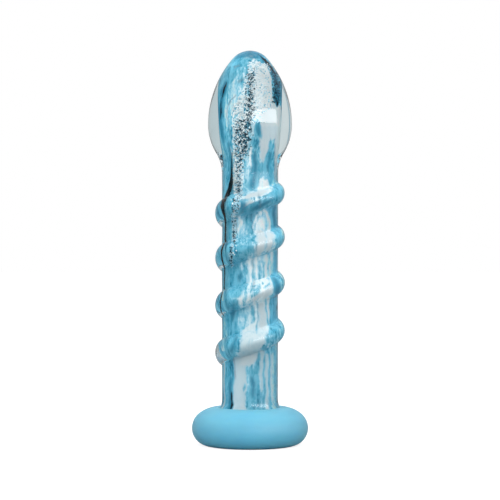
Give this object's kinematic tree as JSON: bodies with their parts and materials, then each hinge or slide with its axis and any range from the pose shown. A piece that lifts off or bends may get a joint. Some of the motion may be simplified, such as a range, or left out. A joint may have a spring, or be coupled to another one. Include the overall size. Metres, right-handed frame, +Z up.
{
  "type": "glass massager wand with silicone base (adult product)",
  "caption": "Marbled glass massager wand, an adult product, with an egg-shaped head, a raised spiral ridge on a straight shaft, and a pull-off silicone base.",
  "frame": {"origin": "centre of the silicone base's flat underside", "axes": "+Z up along the wand's axis, towards the tip of the head; the spiral ridge crosses +X highest at z = 112.5 mm; seen from -Y, +X is to the right"},
  "size_m": [0.0518, 0.0518, 0.176],
  "materials": {
    "marbled_glass": "gloss",
    "white_frit": "gloss",
    "dark_glass": "gloss",
    "clear_glass": "gloss",
    "blue_silicone": "matte"
  },
  "bodies": {
    "base": {"silicone_base": "blue_silicone"},
    "glass": {"marbled_core": "marbled_glass", "speckle_frit": "white_frit", "dark_thread": "dark_glass", "clear_casing": "clear_glass", "spiral_ridge": "clear_glass"}
  },
  "joints": [
    {"name": "base_pull_off", "type": "slide", "parent": "base", "child": "glass", "axis": [0, 0, 1], "range_m": [0, 0.03], "deforming": ["silicone_base"]}
  ]
}
